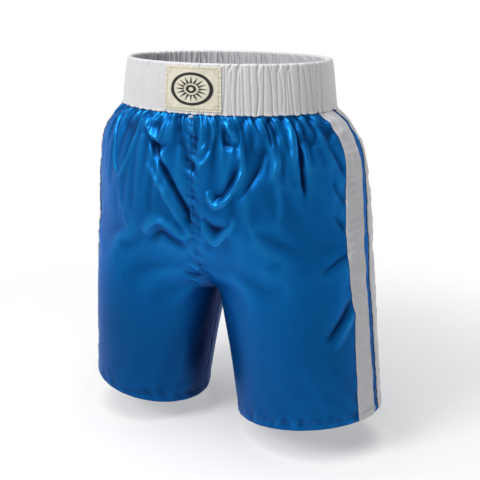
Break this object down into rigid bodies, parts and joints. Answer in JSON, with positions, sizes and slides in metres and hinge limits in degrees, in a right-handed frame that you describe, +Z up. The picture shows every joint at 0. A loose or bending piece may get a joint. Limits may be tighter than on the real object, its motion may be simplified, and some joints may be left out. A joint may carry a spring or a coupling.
{
  "type": "boxing shorts",
  "caption": "Boxing shorts: gathered elastic waistband over front and back satin panels, with applied side stripes, side vents at the hems and a sewn-on front badge.",
  "frame": {"origin": "centre of the waist opening, level with the top edge of the waistband; the shorts hang below it", "axes": "+X towards the wearer's left, -Y out of the wearer's front, +Z up"},
  "size_m": [0.4496, 0.2451, 0.5],
  "materials": {
    "blue_satin": "woven polyester satin, royal blue, soft gloss",
    "white_satin": "woven polyester satin, white, gathered into fine upright ribs",
    "stripe_satin": "woven polyester satin, white, light grey in the shade",
    "elastic_weave": "knitted elastic, off-white, matt",
    "badge_cloth": null,
    "label_cloth": "blank woven label, white, matt",
    "blue_thread": "sewing thread, blue",
    "white_thread": "sewing thread, white"
  },
  "bodies": {
    "shorts": {"badge_thread": "white_thread", "centre_front_tack": "white_thread", "front_badge": "badge_cloth", "left_back_panel": "blue_satin", "left_back_stripe": "stripe_satin", "left_back_stripe_inner_thread": "white_thread", "left_back_stripe_outer_thread": "white_thread", "left_centre_back_thread": "blue_thread", "left_centre_front_thread": "blue_thread", "left_front_panel": "blue_satin", "left_front_stripe": "stripe_satin", "left_front_stripe_inner_thread": "white_thread", "left_front_stripe_outer_thread": "white_thread", "left_hem_thread": "blue_thread", "left_inseam_thread": "blue_thread", "left_side_seam_thread": "blue_thread", "left_vent_tack": "blue_thread", "right_back_panel": "blue_satin", "right_back_stripe": "stripe_satin", "right_back_stripe_inner_thread": "white_thread", "right_back_stripe_outer_thread": "white_thread", "right_centre_back_thread": "blue_thread", "right_centre_front_thread": "blue_thread", "right_front_panel": "blue_satin", "right_front_stripe": "stripe_satin", "right_front_stripe_inner_thread": "white_thread", "right_front_stripe_outer_thread": "white_thread", "right_hem_thread": "blue_thread", "right_inseam_thread": "blue_thread", "right_side_seam_thread": "blue_thread", "right_vent_tack": "blue_thread", "waist_seam_thread": "white_thread", "waistband_casing": "white_satin", "waistband_elastic": "elastic_weave"},
    "care_label": {"care_label": "label_cloth"}
  },
  "joints": [
    {"name": "care_label_flip", "type": "hinge", "parent": "shorts", "child": "care_label", "pos_m": [0, 0.1056, -0.0648], "axis": [-1, 0, 0], "range_deg": [0, 100]}
  ]
}
